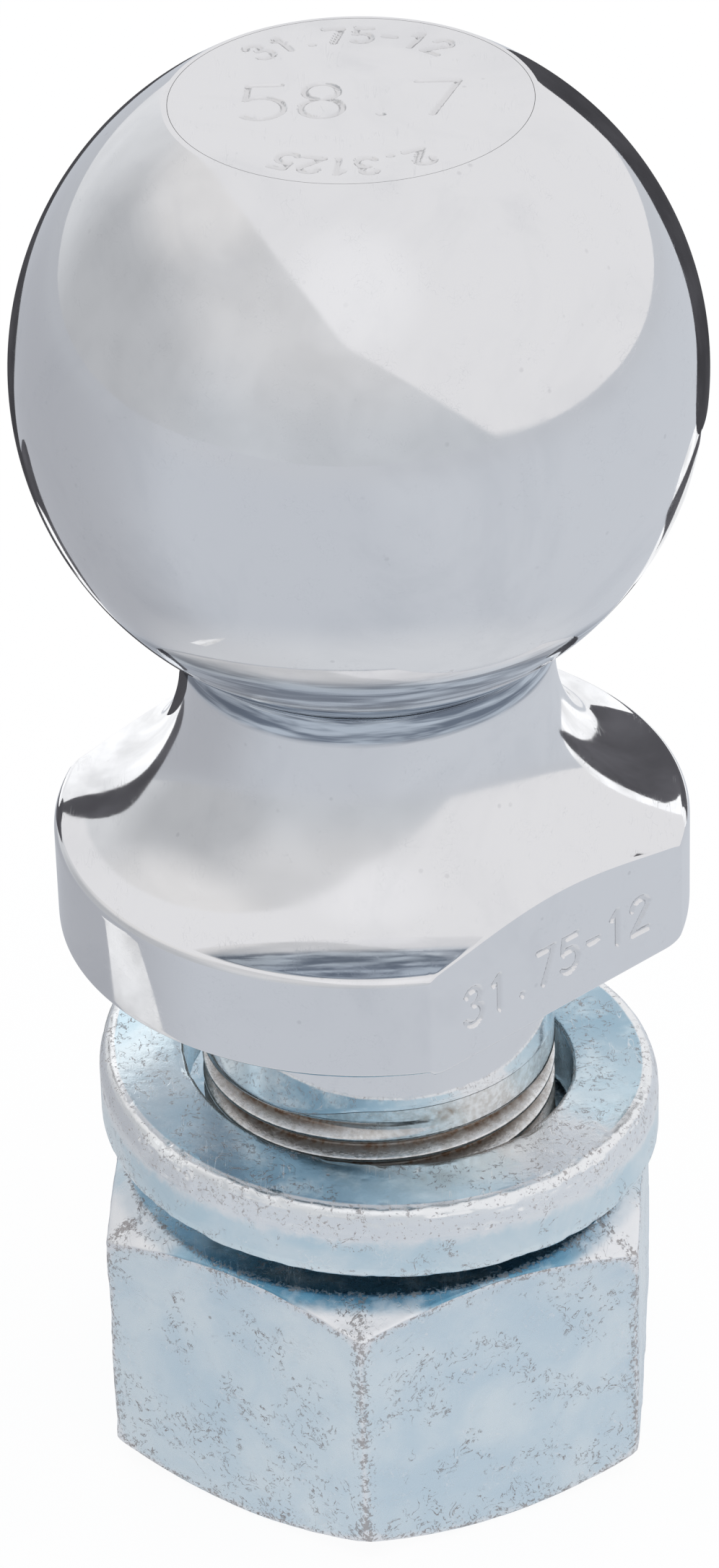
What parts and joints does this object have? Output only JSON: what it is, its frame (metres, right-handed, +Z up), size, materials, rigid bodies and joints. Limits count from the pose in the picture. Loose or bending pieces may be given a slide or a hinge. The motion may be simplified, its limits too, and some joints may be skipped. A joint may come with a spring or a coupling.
{
  "type": "trailer hitch ball",
  "caption": "Chrome trailer hitch ball on a flanged, threaded shank, with a split lock washer and a hex nut that clamp it to a drawbar.",
  "frame": {"origin": "on the shank's axis, at the middle of the nut's bottom face, which the part stands on", "axes": "+Z up the shank's axis to the ball; -Y is the front, which shows a corner of the nut; +X to the right"},
  "size_m": [0.0588, 0.0588, 0.1314],
  "materials": {
    "chrome_plate": "polished chrome plate",
    "washer_zinc": "clear blue zinc plate, scratched, with worn edges",
    "nut_zinc": "clear blue zinc plate, mottled, with worn edges"
  },
  "bodies": {
    "ball_stud": {"ball_stud": "chrome_plate"},
    "lock_washer": {"lock_washer": "washer_zinc"},
    "hex_nut": {"hex_nut": "nut_zinc"}
  },
  "joints": [
    {"name": "nut_travel", "type": "slide", "parent": "ball_stud", "child": "lock_washer", "axis": [0, 0, 1], "range_m": [-0.02011, 0.01164]},
    {"name": "nut_spin", "type": "hinge", "parent": "lock_washer", "child": "hex_nut", "pos_m": [0, 0, 0], "axis": [0, 0, 1], "range_deg": [-3420, 1980]}
  ],
  "couplings": [
    {"joint": "nut_travel", "follows": "nut_spin", "m_per_rad": 0.00033688}
  ]
}
